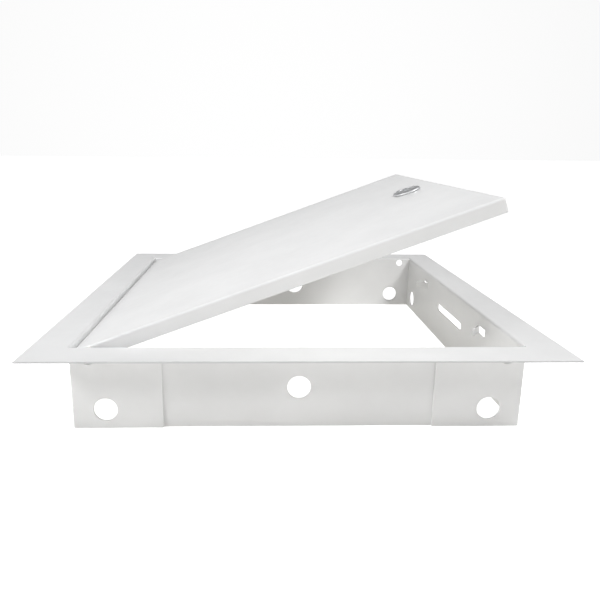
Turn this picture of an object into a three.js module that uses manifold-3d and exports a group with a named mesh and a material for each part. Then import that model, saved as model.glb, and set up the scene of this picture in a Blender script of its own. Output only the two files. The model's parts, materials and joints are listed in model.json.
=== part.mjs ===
// Flush steel access hatch: a flanged box frame with a pan door that swings on two pins,
// held shut by a screwdriver-operated quarter-turn cam latch.
// Millimetres, +Z up. The origin is the middle of the frame, level with its bottom rim.
// The frame stands on its rim with the flange on top, and the door stands ajar.
import * as THREE from "three";
import { mergeVertices } from "three/addons/utils/BufferGeometryUtils.js";
import Module from "manifold-3d";

const wasm = await Module();
wasm.setup();

// ---------- Driving dimensions ----------

const OVERALL = 355.6; // outer side of the square flange
const FLANGE = 25.4; // flange width
const FRAME_DEPTH = 57.2; // flange top to bottom rim
const SHEET = 1.2; // steel thickness
const BEND = 1.8; // outer radius of every bend
const GAP = 0.3; // room between pieces that touch

const MITRE_GAP = 0.1; // each flange strip stops this far short of its mitre line
const LAP_LENGTH = 61; // lap tab, measured from the frame's corner

const FIXING_HOLE = 7.95; // radius
const FIXING_FROM_CENTRE = 130;
const FIXING_HEIGHT = 13.5; // corner holes, above the rim
const MIDDLE_HEIGHT = FRAME_DEPTH / 2;
const BACK_HOLE = { radius: 9.3, right: 14.4, height: 24.4 }; // the back wall's middle one, off centre
const CAM_SLOT = { length: 67, height: 6.6, below: 25.3 };
const STOP = { start: 72, length: 14, height: 6.5, lean: 41, corner: 2 };

const DOOR_GAP = 1.5; // reveal round the door
const DOOR_DEPTH = 10.4; // face to the returns' edges
const DOOR_AJAR = 20.3; // degrees open from closed
const DOOR_CORNER = 2; // outer radius of the upright corners

const PIN_FROM_EDGE = 12.7; // hinge axis, inboard of the flange's inner edge
const PIN_BELOW = 5.5; // hinge axis, below the flange's top
const PIN = 3.2; // radius
const PIN_CHAMFER = 0.8;
const PIN_HOLE = 3.5;
const PIN_CLEARANCE_HOLE = 6; // larger hole in the lap tab, in line with the pin hole

const FIXED_PIN_HEAD = { radius: 4, thick: 2, chamfer: 0.6 };
const SLIDING_PIN = { shaft: 2.5, shoulder: 2.2, tipChamfer: 1.2, bend: 5, finger: 19 };
const BRACKET = { y: 123.7, thick: 1.2, below: 6.5, outside: 6.2, inside: 19.7, foot: 13, footLength: 10 };
const SPRING = { wire: 0.45, turns: 8 };
const SPACER = 5; // radius

const LATCH_FROM_EDGE = 27; // latch axis, inboard of the door's free edge
const BARREL = { radius: 9.3, flats: 16.4, length: 22.3 }; // length below the door's face
const LATCH_FLANGE = { radius: 12.3, edge: 1, crown: 2.5 };
const COUNTERBORE = { radius: 7.8, depth: 1.5 };
const PLUG = { radius: 5.8, head: 7.5, headTop: 2.1, headBottom: -1.2, square: 8 };
const DRIVER_SLOT = { half: 0.9, bottom: 0.4 };
const O_RING = { centre: -9, radius: 5.4, section: 0.55 };
const GROOVE = { half: 0.9, radius: 4.6 };
const LUG = { inner: 7.4, outer: 9.1, halfAngle: 10 };
const TOOTHED_WASHER = { teeth: 18, tip: 12.6, root: 11.6, thick: 0.8 };
const NUT = { corner: 13.6, thick: 3.6, chamfer: 0.8, face: 12.2 };
const STOP_WASHER = { radius: 9.2, thick: 1.2, play: 2 };
const CAM = { reach: 36, thick: 2.4, hub: 9, tipHalf: 6.5, tipCorner: 4 };
const CAM_LOCK_WASHER = { radius: 5, thick: 0.8 };
const SCREW = { shank: 2.2, tapped: 2.6, head: 4.6, headThick: 2.8, end: -14.8, recess: 2.2 };

const PAST = 1; // how far a cutter runs past the faces it cuts
const HALF = OVERALL / 2;
const WALL_OUT = HALF - FLANGE; // outer face of the four walls
const WALL_IN = WALL_OUT - SHEET;
const TAB_IN = WALL_OUT + GAP; // lap tabs lie outside the front and back walls
const TAB_OUT = TAB_IN + SHEET;
const TAB_TOP = FRAME_DEPTH - SHEET - 0.8;
const DOOR_HALF = WALL_IN - DOOR_GAP;
const HINGE_X = -(WALL_OUT - PIN_FROM_EDGE);
const HINGE_Z = FRAME_DEPTH - PIN_BELOW;
const LATCH_X = DOOR_HALF - LATCH_FROM_EDGE;
const SLOT_Z = FRAME_DEPTH - CAM_SLOT.below;
const STOP_TOP = FRAME_DEPTH - DOOR_DEPTH - GAP;
const PIN_TIP = TAB_OUT - GAP; // the pins end just inside the lap tab's outer face
const RETURN_IN = DOOR_HALF - SHEET; // inner face of the door's returns
const STOP_WASHER_TOP = -BARREL.length - GAP; // latch heights are from the door's face
const STOP_WASHER_BOTTOM = STOP_WASHER_TOP - STOP_WASHER.thick;
const CAM_TOP = STOP_WASHER_BOTTOM - GAP;
const PLUG_END = CAM_TOP - CAM.thick - GAP / 2;
const LOCK_WASHER_TOP = PLUG_END - GAP;
const SCREW_TOP = LOCK_WASHER_TOP - CAM_LOCK_WASHER.thick - GAP;
const QUARTER = Math.PI / 2;

// ---------- Solids ----------

// A closed three.js geometry as a solid that can be joined and cut.
function solid(geometry) {
  const bare = geometry.clone();
  bare.deleteAttribute("normal");
  bare.deleteAttribute("uv");
  const merged = mergeVertices(bare, 1e-4);
  return new wasm.Manifold(
    new wasm.Mesh({
      numProp: 3,
      vertProperties: new Float32Array(merged.attributes.position.array),
      triVerts: new Uint32Array(merged.index.array),
    }),
  );
}

// A solid back as a three.js geometry.
function geometryOf(body) {
  const mesh = body.getMesh();
  const geometry = new THREE.BufferGeometry();
  geometry.setAttribute("position", new THREE.BufferAttribute(mesh.vertProperties, 3));
  geometry.setIndex(new THREE.BufferAttribute(mesh.triVerts, 1));
  const flat = geometry.toNonIndexed();
  flat.computeVertexNormals();
  return flat;
}

function box(x0, x1, y0, y1, z0, z1) {
  const geometry = new THREE.BoxGeometry(x1 - x0, y1 - y0, z1 - z0);
  geometry.translate((x0 + x1) / 2, (y0 + y1) / 2, (z0 + z1) / 2);
  return solid(geometry);
}

// A shape in the XY plane, raised from z0 to z1.
function prism(shape, z0, z1, curveSegments = 8) {
  const geometry = new THREE.ExtrudeGeometry(shape, {
    depth: z1 - z0,
    bevelEnabled: false,
    curveSegments,
  });
  geometry.translate(0, 0, z0);
  return geometry;
}

// A shape drawn in the XZ plane, run along Y from y0 to y1.
function runAlongY(shape, y0, y1, curveSegments = 8) {
  return prism(shape, -y1, -y0, curveSegments).rotateX(QUARTER);
}

// A shape drawn in the YZ plane, run along X from x0 to x1.
function runAlongX(shape, x0, x1, curveSegments = 8) {
  return prism(shape, x0, x1, curveSegments).rotateX(QUARTER).rotateZ(QUARTER);
}

// A drill along X or Y through the point given.
function drillX(radius, x0, x1, y, z, segments = 40) {
  const geometry = new THREE.CylinderGeometry(radius, radius, x1 - x0, segments);
  geometry.rotateZ(QUARTER);
  geometry.translate((x0 + x1) / 2, y, z);
  return solid(geometry);
}

function drillY(radius, x, y0, y1, z, segments = 40) {
  const geometry = new THREE.CylinderGeometry(radius, radius, y1 - y0, segments);
  geometry.translate(x, (y0 + y1) / 2, z);
  return solid(geometry);
}

// A turned piece on the Z axis, from [radius, height] pairs that start and end on the axis or close.
function turned(points, segments = 32) {
  const outline = points.map(([r, z]) => new THREE.Vector2(r, z));
  return new THREE.LatheGeometry(outline, segments).rotateX(QUARTER);
}

function polygon(points) {
  return new THREE.Shape(points.map(([x, y]) => new THREE.Vector2(x, y)));
}

function circle(radius) {
  return new THREE.Shape().absarc(0, 0, radius, 0, 2 * Math.PI);
}

function withHole(shape, hole) {
  shape.holes.push(hole);
  return shape;
}

// A rectangle with its four corners rounded by the radii given, from the lower left one round.
function roundedRectangle(x0, x1, y0, y1, lowerLeft, lowerRight, upperRight, upperLeft) {
  const shape = new THREE.Shape();
  shape.moveTo(x0 + lowerLeft, y0);
  shape.lineTo(x1 - lowerRight, y0);
  if (lowerRight) shape.absarc(x1 - lowerRight, y0 + lowerRight, lowerRight, -QUARTER, 0);
  shape.lineTo(x1, y1 - upperRight);
  if (upperRight) shape.absarc(x1 - upperRight, y1 - upperRight, upperRight, 0, QUARTER);
  shape.lineTo(x0 + upperLeft, y1);
  if (upperLeft) shape.absarc(x0 + upperLeft, y1 - upperLeft, upperLeft, QUARTER, 2 * QUARTER);
  shape.lineTo(x0, y0 + lowerLeft);
  if (lowerLeft) shape.absarc(x0 + lowerLeft, y0 + lowerLeft, lowerLeft, 2 * QUARTER, 3 * QUARTER);
  return shape;
}

// ---------- Finishes ----------

function finish(color, roughness, metalness) {
  return () => new THREE.MeshStandardMaterial({ color, roughness, metalness });
}

const whiteCoat = finish(0xecedee, 0.45, 0);
const chrome = finish(0xb9bcbf, 0.2, 1);
const zinc = finish(0xa9acb0, 0.4, 0.9);
const springSteel = finish(0x8b8e92, 0.35, 0.9);
const nylon = finish(0xe9e7df, 0.55, 0);
const rubber = finish(0x1c1c1c, 0.8, 0);

function piece(name, geometry, material) {
  const mesh = new THREE.Mesh(geometry, material());
  mesh.name = name;
  return mesh;
}

// ---------- Frame ----------
// Each member is made as the right-hand one, with its wall facing +X, and turned into place.

// Section of a member: the wall, the bend and the flange strip, as x and height.
function memberSection() {
  const shape = new THREE.Shape();
  const centre = WALL_IN + BEND;
  const bendHeight = FRAME_DEPTH - BEND;
  shape.moveTo(WALL_OUT, 0);
  shape.lineTo(WALL_OUT, bendHeight);
  shape.absarc(centre, bendHeight, BEND - SHEET, 2 * QUARTER, QUARTER, true);
  shape.lineTo(HALF, FRAME_DEPTH - SHEET);
  shape.lineTo(HALF, FRAME_DEPTH);
  shape.lineTo(centre, FRAME_DEPTH);
  shape.absarc(centre, bendHeight, BEND, QUARTER, 2 * QUARTER, false);
  shape.lineTo(WALL_IN, 0);
  return shape;
}

// Wall and flange strip, cut to 45 degrees at both ends.
function mitredMember() {
  const near = WALL_IN - 10 * PAST;
  const far = HALF + 10 * PAST;
  const cut = MITRE_GAP * Math.SQRT2;
  const wedge = polygon([
    [near, -(near - cut)],
    [far, -(far - cut)],
    [far, far - cut],
    [near, near - cut],
  ]);
  const length = solid(runAlongY(memberSection(), -HALF, HALF, 6));
  return length.intersect(solid(prism(wedge, -PAST, FRAME_DEPTH + PAST)));
}

// A round hole through a member's wall.
function drillWall(body, radius, y, z, segments = 40) {
  return body.subtract(drillX(radius, WALL_IN - PAST, WALL_OUT + PAST, y, z, segments));
}

function drillCornerHoles(body) {
  const first = drillWall(body, FIXING_HOLE, -FIXING_FROM_CENTRE, FIXING_HEIGHT);
  return drillWall(first, FIXING_HOLE, FIXING_FROM_CENTRE, FIXING_HEIGHT);
}

function drillMiddleHole(body) {
  return drillWall(body, FIXING_HOLE, 0, MIDDLE_HEIGHT);
}

// Front or back member: its wall stops short of the side walls.
function endMember() {
  const wallHalf = WALL_IN - BEND / 3;
  let body = mitredMember();
  for (const side of [-1, 1]) {
    const inner = side * wallHalf;
    const outer = side * HALF;
    const ends = [Math.min(inner, outer), Math.max(inner, outer)];
    body = body.subtract(box(WALL_IN - PAST, WALL_OUT + 0.01, ...ends, -PAST, FRAME_DEPTH - BEND));
    body = drillWall(body, PIN_HOLE, side * HINGE_X, HINGE_Z, 28);
  }
  return drillCornerHoles(body);
}

function backMember() {
  return drillWall(endMember(), BACK_HOLE.radius, -BACK_HOLE.right, BACK_HOLE.height);
}

// Plan of a side wall's end: it turns the corner and becomes the lap tab.
function lapPlan() {
  const shape = new THREE.Shape();
  const x = WALL_OUT - BEND;
  const y = TAB_OUT - BEND;
  const tabEnd = WALL_OUT - LAP_LENGTH;
  const joinsWall = WALL_IN - 20;
  shape.moveTo(WALL_OUT, joinsWall);
  shape.lineTo(WALL_OUT, y);
  shape.absarc(x, y, BEND, 0, QUARTER, false);
  shape.lineTo(tabEnd, TAB_OUT);
  shape.lineTo(tabEnd, TAB_IN);
  shape.lineTo(x, TAB_IN);
  shape.absarc(x, y, BEND - SHEET, QUARTER, 0, true);
  shape.lineTo(WALL_IN, joinsWall);
  return shape;
}

// Lap tabs at both ends, with the fixing hole and the clearance hole over the pin hole.
function lapTabs() {
  const plan = prism(lapPlan(), 0, TAB_TOP, 6);
  const through = [TAB_IN - PAST, TAB_OUT + PAST];
  const one = solid(plan)
    .subtract(drillY(FIXING_HOLE, FIXING_FROM_CENTRE, ...through, FIXING_HEIGHT))
    .subtract(drillY(PIN_CLEARANCE_HOLE, -HINGE_X, ...through, HINGE_Z, 36));
  return one.add(one.mirror([0, 1, 0]));
}

function sideMember() {
  return drillCornerHoles(mitredMember().add(lapTabs()));
}

function hingeSideMember() {
  return drillMiddleHole(sideMember());
}

// A stop is lanced out of the wall and leans inward, away from the middle of the side.
function stopFlap() {
  const flap = roundedRectangle(
    -SHEET, STOP.length, STOP_TOP - STOP.height + GAP / 2, STOP_TOP,
    0, STOP.corner, STOP.corner, 0,
  );
  const geometry = runAlongX(flap, -SHEET, 0, 4);
  geometry.rotateZ(THREE.MathUtils.degToRad(STOP.lean));
  geometry.translate(WALL_OUT, STOP.start, 0);
  return solid(geometry);
}

function stopWindow() {
  const end = STOP.start + STOP.length;
  return box(WALL_IN - PAST, WALL_OUT + PAST, STOP.start, end, STOP_TOP - STOP.height, STOP_TOP);
}

function latchSideMember() {
  const reach = CAM_SLOT.length / 2;
  const half = CAM_SLOT.height / 2;
  const slot = roundedRectangle(-reach, reach, SLOT_Z - half, SLOT_Z + half, half, half, half, half);
  const window = stopWindow();
  const flap = stopFlap();
  return sideMember()
    .subtract(solid(runAlongX(slot, WALL_IN - PAST, WALL_OUT + PAST, 10)))
    .subtract(window)
    .subtract(window.mirror([0, 1, 0]))
    .add(flap)
    .add(flap.mirror([0, 1, 0]));
}

function makeFrame() {
  const frame = new THREE.Group();
  const members = [
    ["frame_right", latchSideMember(), 0],
    ["frame_back", backMember(), 1],
    ["frame_left", hingeSideMember(), 2],
    ["frame_front", drillMiddleHole(endMember()), 3],
  ];
  for (const [name, body, quarters] of members) {
    const member = piece(name, geometryOf(body), whiteCoat);
    member.rotation.z = quarters * QUARTER;
    frame.add(member);
  }
  return frame;
}

// ---------- Door ----------
// Drawn closed, with its face level with the flange.

// A square block with rounded upper edges and upright corners.
function panBlock(half, bottom, top, edge, corner) {
  const section = roundedRectangle(-half, half, bottom, top, 0, 0, edge, edge);
  const plan = roundedRectangle(-half, half, -half, half, corner, corner, corner, corner);
  const ends = [-half - PAST, half + PAST];
  return solid(runAlongY(section, ...ends, 6))
    .intersect(solid(runAlongX(section, ...ends, 6)))
    .intersect(solid(prism(plan, bottom - PAST, top + PAST, 6)));
}

// Hole for the latch barrel, with its two flats.
function barrelShape(radius, flats) {
  const half = flats / 2;
  const angle = Math.acos(half / radius);
  const shape = new THREE.Shape();
  shape.absarc(0, 0, radius, angle, Math.PI - angle);
  shape.absarc(0, 0, radius, Math.PI + angle, 2 * Math.PI - angle);
  return shape;
}

function doorPanel() {
  const bottom = FRAME_DEPTH - DOOR_DEPTH;
  const outside = panBlock(DOOR_HALF, bottom, FRAME_DEPTH, BEND, DOOR_CORNER);
  const inside = panBlock(
    RETURN_IN, bottom - 5 * PAST, FRAME_DEPTH - SHEET, BEND - SHEET, DOOR_CORNER - SHEET,
  );
  const hole = barrelShape(BARREL.radius + GAP, BARREL.flats + 2 * GAP);
  const latchHole = prism(hole, FRAME_DEPTH - SHEET - PAST, FRAME_DEPTH + PAST, 16);
  latchHole.translate(LATCH_X, 0, 0);
  let panel = outside.subtract(inside).subtract(solid(latchHole));
  for (const side of [-1, 1]) {
    const through = [side * DOOR_HALF - 2 * PAST, side * DOOR_HALF + 2 * PAST];
    panel = panel.subtract(drillY(PIN_HOLE, HINGE_X, ...through, HINGE_Z, 28));
  }
  return panel;
}

// ---------- Hinge ----------
// Pins are turned on an axis along Y at HINGE_X, HINGE_Z.

// Turns a Z-axis piece to lie along Y, its top end towards +Y or -Y, on the hinge axis.
function ontoHingeAxis(geometry, direction) {
  geometry.rotateX(-direction * QUARTER);
  geometry.translate(HINGE_X, 0, HINGE_Z);
  return geometry;
}

function fixedPin() {
  const { radius, thick, chamfer } = FIXED_PIN_HEAD;
  const headBack = RETURN_IN - GAP;
  const headFront = headBack - thick;
  const profile = [
    [0, headFront], [radius - chamfer, headFront], [radius, headFront + chamfer], [radius, headBack],
    [PIN, headBack], [PIN, PIN_TIP - PIN_CHAMFER], [PIN - PIN_CHAMFER, PIN_TIP], [0, PIN_TIP],
  ];
  return ontoHingeAxis(turned(profile, 28), -1);
}

// Thin shaft with a finger bent down at its inner end.
class FingerPath extends THREE.CurvePath {
  constructor(start, bendAt, bendRadius, drop) {
    super();
    const corner = new THREE.Vector3(0, bendAt - bendRadius, 0);
    const under = new THREE.Vector3(0, bendAt - bendRadius, -bendRadius);
    const bendStart = new THREE.Vector3(0, bendAt, 0);
    this.add(new THREE.LineCurve3(new THREE.Vector3(0, start, 0), bendStart));
    this.add(new THREE.QuadraticBezierCurve3(bendStart, corner, under));
    this.add(new THREE.LineCurve3(under, new THREE.Vector3(0, bendAt - bendRadius, -drop)));
  }
}

function slidingPin() {
  const { shaft, shoulder, tipChamfer, bend, finger: drop } = SLIDING_PIN;
  const start = RETURN_IN - shoulder;
  const bendAt = BRACKET.y - shoulder;
  const tip = [
    [0, start], [PIN, start], [PIN, PIN_TIP - tipChamfer], [PIN - tipChamfer, PIN_TIP], [0, PIN_TIP],
  ];
  const finger = new THREE.ExtrudeGeometry(circle(shaft), {
    steps: 22,
    curveSegments: 6,
    extrudePath: new FingerPath(start + 1, bendAt, bend, drop),
  });
  finger.translate(HINGE_X, 0, HINGE_Z);
  return solid(ontoHingeAxis(turned(tip, 28), 1)).add(solid(finger));
}

// Angle spot-welded under the door's face: a leg across the pin and a foot beside it.
function hingeBracket() {
  const top = FRAME_DEPTH - SHEET - GAP;
  const outerY = BRACKET.y + BRACKET.thick;
  const farX = HINGE_X + BRACKET.inside;
  const footX = farX - BRACKET.foot;
  const leg = roundedRectangle(HINGE_X - BRACKET.outside, farX, HINGE_Z - BRACKET.below, top, 4, 4, 0, 3);
  const foot = roundedRectangle(footX, farX, outerY - 1, outerY + BRACKET.footLength + 1, 0, 0, 3, 3);
  return solid(runAlongY(leg, BRACKET.y, outerY, 6))
    .add(solid(prism(foot, top - BRACKET.thick, top, 6)))
    .subtract(drillY(SLIDING_PIN.shaft + GAP, HINGE_X, BRACKET.y - PAST, outerY + PAST, HINGE_Z, 28));
}

class Helix extends THREE.Curve {
  constructor(radius, turns, start, end) {
    super();
    Object.assign(this, { radius, turns, start, end });
  }

  getPoint(t) {
    const angle = 2 * Math.PI * this.turns * t;
    const height = this.start + (this.end - this.start) * t;
    return new THREE.Vector3(this.radius * Math.cos(angle), height, this.radius * Math.sin(angle));
  }
}

function hingeSpring() {
  const { wire, turns } = SPRING;
  const start = BRACKET.y + BRACKET.thick + GAP + wire;
  const end = RETURN_IN - SLIDING_PIN.shoulder - GAP - wire;
  const geometry = new THREE.ExtrudeGeometry(circle(wire), {
    steps: turns * 10,
    curveSegments: 3,
    extrudePath: new Helix(SLIDING_PIN.shaft + GAP + wire, turns, start, end),
  });
  return geometry.translate(HINGE_X, 0, HINGE_Z);
}

// Nylon spacer between the door's return and the frame's wall.
function spacer(direction) {
  const inner = DOOR_HALF + GAP;
  const outer = WALL_IN - GAP;
  const profile = [
    [PIN_HOLE, inner], [SPACER, inner], [SPACER, outer], [PIN_HOLE, outer], [PIN_HOLE, inner],
  ];
  return ontoHingeAxis(turned(profile, 32), direction);
}

// ---------- Latch ----------
// Drawn on the Z axis, with z = 0 at the door's face and the cam turned to its open place, along -Y.

// Part of a ring between two angles in degrees.
function ringSector(inner, outer, from, to) {
  const a = THREE.MathUtils.degToRad(from);
  const b = THREE.MathUtils.degToRad(to);
  const shape = new THREE.Shape();
  shape.absarc(0, 0, outer, a, b, false);
  shape.absarc(0, 0, inner, b, a, true);
  return shape;
}

function squarePlan(side) {
  const half = side / 2;
  return roundedRectangle(-half, half, -half, half, 0, 0, 0, 0);
}

function latchBody() {
  const { radius, edge, crown } = LATCH_FLANGE;
  const inner = COUNTERBORE.radius;
  const flange = turned([
    [inner, GAP], [radius, GAP], [radius, edge], [radius - 0.7, edge + 0.7],
    [inner + 1.8, crown - 0.1], [inner + 0.6, crown], [inner, crown - 0.3], [inner, GAP],
  ], 48);
  const plan = withHole(barrelShape(BARREL.radius, BARREL.flats), circle(PLUG.radius + GAP));
  const barrel = prism(plan, -BARREL.length, edge, 20);
  const counterbore = prism(circle(inner), -COUNTERBORE.depth, crown + PAST, 24);
  const lug = ringSector(LUG.inner, LUG.outer, -90 - LUG.halfAngle, -90 + LUG.halfAngle);
  return solid(flange)
    .add(solid(barrel).subtract(solid(counterbore)))
    .add(solid(prism(lug, STOP_WASHER_BOTTOM, 1 - BARREL.length, 6)));
}

function latchPlug() {
  const { radius, head, headTop, headBottom } = PLUG;
  const grooveBottom = O_RING.centre - GROOVE.half;
  const grooveTop = O_RING.centre + GROOVE.half;
  const slotEnd = head + PAST;
  const body = turned([
    [0, -BARREL.length], [radius, -BARREL.length],
    [radius, grooveBottom], [GROOVE.radius, grooveBottom],
    [GROOVE.radius, grooveTop], [radius, grooveTop],
    [radius, headBottom], [head, headBottom], [head, headTop - 0.4], [head - 0.4, headTop], [0, headTop],
  ], 40);
  const square = prism(squarePlan(PLUG.square), PLUG_END, 1 - BARREL.length);
  const tapped = prism(circle(SCREW.tapped), PLUG_END - PAST, SCREW.end + 0.8, 8);
  const { half, bottom } = DRIVER_SLOT;
  return solid(body)
    .add(solid(square))
    .subtract(solid(tapped))
    .subtract(box(-half, half, -slotEnd, slotEnd, bottom, headTop + PAST));
}

function latchORing() {
  const { centre, radius, section } = O_RING;
  const points = [];
  const count = 8;
  for (let i = 0; i <= count; i++) {
    const angle = (2 * Math.PI * (i % count)) / count;
    points.push([radius + section * Math.cos(angle), centre + section * Math.sin(angle)]);
  }
  return turned(points, 24);
}

// Lock washer with teeth round its rim.
function toothedWasher() {
  const { teeth, tip, root, thick } = TOOTHED_WASHER;
  const points = [];
  for (let i = 0; i < teeth * 4; i++) {
    const radius = i % 4 < 2 ? tip : root;
    const angle = (Math.PI * i) / (2 * teeth);
    points.push([radius * Math.cos(angle), radius * Math.sin(angle)]);
  }
  const top = -SHEET - GAP;
  return prism(withHole(polygon(points), circle(BARREL.radius + GAP)), top - thick, top, 20);
}

// Thin hexagon nut, chamfered at both ends.
function latchNut() {
  const { corner, thick, chamfer, face } = NUT;
  const top = -SHEET - 2 * GAP - TOOTHED_WASHER.thick;
  const bottom = top - thick;
  const points = [];
  for (let i = 0; i < 6; i++) {
    points.push([corner * Math.cos((i * Math.PI) / 3), corner * Math.sin((i * Math.PI) / 3)]);
  }
  const envelope = turned([
    [0, bottom], [face, bottom], [corner, bottom + chamfer],
    [corner, top - chamfer], [face, top], [0, top],
  ], 48);
  const hexagon = prism(withHole(polygon(points), circle(BARREL.radius + GAP)), bottom, top, 20);
  return solid(hexagon).intersect(solid(envelope));
}

// Turns with the plug: its notch runs round the barrel's lug and stops it after a quarter turn.
function stopWasher() {
  const { radius, play } = STOP_WASHER;
  const from = -180 - LUG.halfAngle - play;
  const to = -90 + LUG.halfAngle + play;
  const plan = withHole(circle(radius), squarePlan(PLUG.square + 2 * GAP));
  const disc = prism(plan, STOP_WASHER_BOTTOM, STOP_WASHER_TOP, 20);
  const cut = ringSector(LUG.inner - GAP, radius + PAST, from, to);
  const notch = prism(cut, STOP_WASHER_BOTTOM - PAST, STOP_WASHER_TOP + PAST, 20);
  return solid(disc).subtract(solid(notch));
}

function latchCam() {
  const { reach, thick, hub, tipHalf, tipCorner } = CAM;
  const cornerX = tipHalf - tipCorner;
  const cornerY = tipCorner - reach;
  const shape = new THREE.Shape();
  shape.absarc(0, 0, hub, 0, Math.PI, false);
  shape.lineTo(-tipHalf, cornerY);
  shape.absarc(-cornerX, cornerY, tipCorner, 2 * QUARTER, 3 * QUARTER, false);
  shape.absarc(cornerX, cornerY, tipCorner, 3 * QUARTER, 4 * QUARTER, false);
  return prism(withHole(shape, squarePlan(PLUG.square + 2 * GAP)), CAM_TOP - thick, CAM_TOP, 10);
}

function camLockWasher() {
  const { radius, thick } = CAM_LOCK_WASHER;
  return prism(withHole(circle(radius), circle(SCREW.tapped)), LOCK_WASHER_TOP - thick, LOCK_WASHER_TOP, 14);
}

// Pan-head screw up into the plug, with a cross recess.
function camScrew() {
  const { shank, head, headThick, end, recess } = SCREW;
  const bottom = SCREW_TOP - headThick;
  const body = turned([
    [0, bottom], [head - 1.6, bottom], [head - 0.6, bottom + 0.5], [head, bottom + 1.5], [head, SCREW_TOP],
    [shank, SCREW_TOP], [shank, end - 0.8], [shank - 0.8, end], [0, end],
  ], 24);
  const heights = [bottom - PAST, bottom + 1.5];
  return solid(body)
    .subtract(box(-0.5, 0.5, -recess, recess, ...heights))
    .subtract(box(-recess, recess, -0.5, 0.5, ...heights));
}

// ---------- Assembly ----------

function makeLatch() {
  const latch = new THREE.Group();
  latch.position.set(LATCH_X, 0, FRAME_DEPTH);
  latch.add(
    piece("latch_body", geometryOf(latchBody()), chrome),
    piece("latch_plug", geometryOf(latchPlug()), chrome),
    piece("latch_o_ring", latchORing(), rubber),
    piece("latch_washer", toothedWasher(), zinc),
    piece("latch_nut", geometryOf(latchNut()), zinc),
    piece("stop_washer", geometryOf(stopWasher()), zinc),
    piece("latch_cam", latchCam(), zinc),
    piece("cam_lock_washer", camLockWasher(), zinc),
    piece("cam_screw", geometryOf(camScrew()), zinc),
  );
  return latch;
}

function makeDoor() {
  const closed = new THREE.Group();
  closed.position.set(-HINGE_X, 0, -HINGE_Z);
  closed.add(
    piece("door_panel", geometryOf(doorPanel()), whiteCoat),
    piece("hinge_pin_front", fixedPin(), zinc),
    piece("hinge_pin_back", geometryOf(slidingPin()), zinc),
    piece("hinge_bracket", geometryOf(hingeBracket()), zinc),
    piece("hinge_spring", hingeSpring(), springSteel),
    piece("hinge_washer_front", spacer(-1), nylon),
    piece("hinge_washer_back", spacer(1), nylon),
    makeLatch(),
  );
  const swing = new THREE.Group();
  swing.position.set(HINGE_X, 0, HINGE_Z);
  swing.rotation.y = -THREE.MathUtils.degToRad(DOOR_AJAR);
  swing.add(closed);
  return swing;
}

const hatch = new THREE.Group();
hatch.add(makeFrame(), makeDoor());

export default hatch;
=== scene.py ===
# Flush steel access hatch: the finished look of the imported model.
# Shapes are made in millimetres and make_piece() turns them into the frame's metres.
import json
import math

import bmesh
import bpy
from mathutils import Matrix, Vector


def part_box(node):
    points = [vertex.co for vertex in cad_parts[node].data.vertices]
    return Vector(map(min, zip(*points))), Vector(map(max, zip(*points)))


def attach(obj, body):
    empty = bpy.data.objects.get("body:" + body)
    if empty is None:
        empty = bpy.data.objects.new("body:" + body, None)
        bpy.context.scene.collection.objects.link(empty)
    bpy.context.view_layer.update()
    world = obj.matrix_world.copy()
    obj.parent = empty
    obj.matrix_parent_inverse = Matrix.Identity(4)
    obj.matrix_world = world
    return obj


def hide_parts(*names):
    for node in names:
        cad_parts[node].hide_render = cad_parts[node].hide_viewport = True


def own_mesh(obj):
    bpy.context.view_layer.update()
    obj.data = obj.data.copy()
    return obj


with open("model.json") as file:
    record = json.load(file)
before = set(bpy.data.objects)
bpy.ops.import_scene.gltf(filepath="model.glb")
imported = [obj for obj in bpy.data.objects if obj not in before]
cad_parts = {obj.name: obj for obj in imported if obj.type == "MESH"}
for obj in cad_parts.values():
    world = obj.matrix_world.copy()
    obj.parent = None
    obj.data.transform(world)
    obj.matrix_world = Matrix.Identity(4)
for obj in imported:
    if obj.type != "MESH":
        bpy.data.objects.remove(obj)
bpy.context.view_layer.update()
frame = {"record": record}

MM = 0.001
PAST = 1.0  # how far a cutter runs past the faces it cuts
GAP = 0.3  # room between pieces that touch
EDGE = 0.25  # rounding of a cut sheet edge
SHARP = 0.01  # rounding of an end that stays sharp, or that another cut takes away

record = frame["record"]
mount = {m["name"]: Vector(m["pos_m"]) / MM for m in record["mounts"]}
joint = {j["name"]: j for j in record["behaviour"]["joints"]}
slot_of = {part["node"]: part["material_slot"] for part in record["subparts"]}
body_of = {node: body for body, nodes in record["behaviour"]["bodies"].items() for node in nodes}


def node_box(node):
    """Lowest and highest corner of a CAD node, in millimetres."""
    low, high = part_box(node)
    return low / MM, high / MM


# ---------- Sizes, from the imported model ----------

HALF = node_box("frame_right")[1].x
DEPTH = node_box("frame_right")[1].z
SHEET = DEPTH - mount["flange_underside"].z
WALL_OUT = mount["side_right"].x
WALL_IN = WALL_OUT - SHEET
TAB_OUT = mount["lap_tab_back"].y
BEND = 1.8  # outer radius of every bend
BEND_IN = BEND - SHEET
HINGE = Vector(joint["door_hinge"]["pos_m"]) / MM
AJAR = math.radians(-joint["door_hinge"]["range_deg"][0])
ACROSS_HINGE = Matrix.Translation(HINGE * MM)
DOOR_PLACE = ACROSS_HINGE @ Matrix.Rotation(-AJAR, 4, "Y") @ ACROSS_HINGE.inverted()
LATCH_X = (DOOR_PLACE.inverted() @ Vector(joint["latch_turn"]["pos_m"])).x / MM
LATCH_PLACE = DOOR_PLACE @ Matrix.Translation(Vector((LATCH_X, 0, DEPTH)) * MM)

ALONG_Y = Matrix.Rotation(math.pi / 2, 4, "X")  # a run's height becomes -Y
ALONG_X = Matrix.Rotation(math.pi / 2, 4, "Z") @ ALONG_Y


# ---------- Outlines ----------


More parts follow.
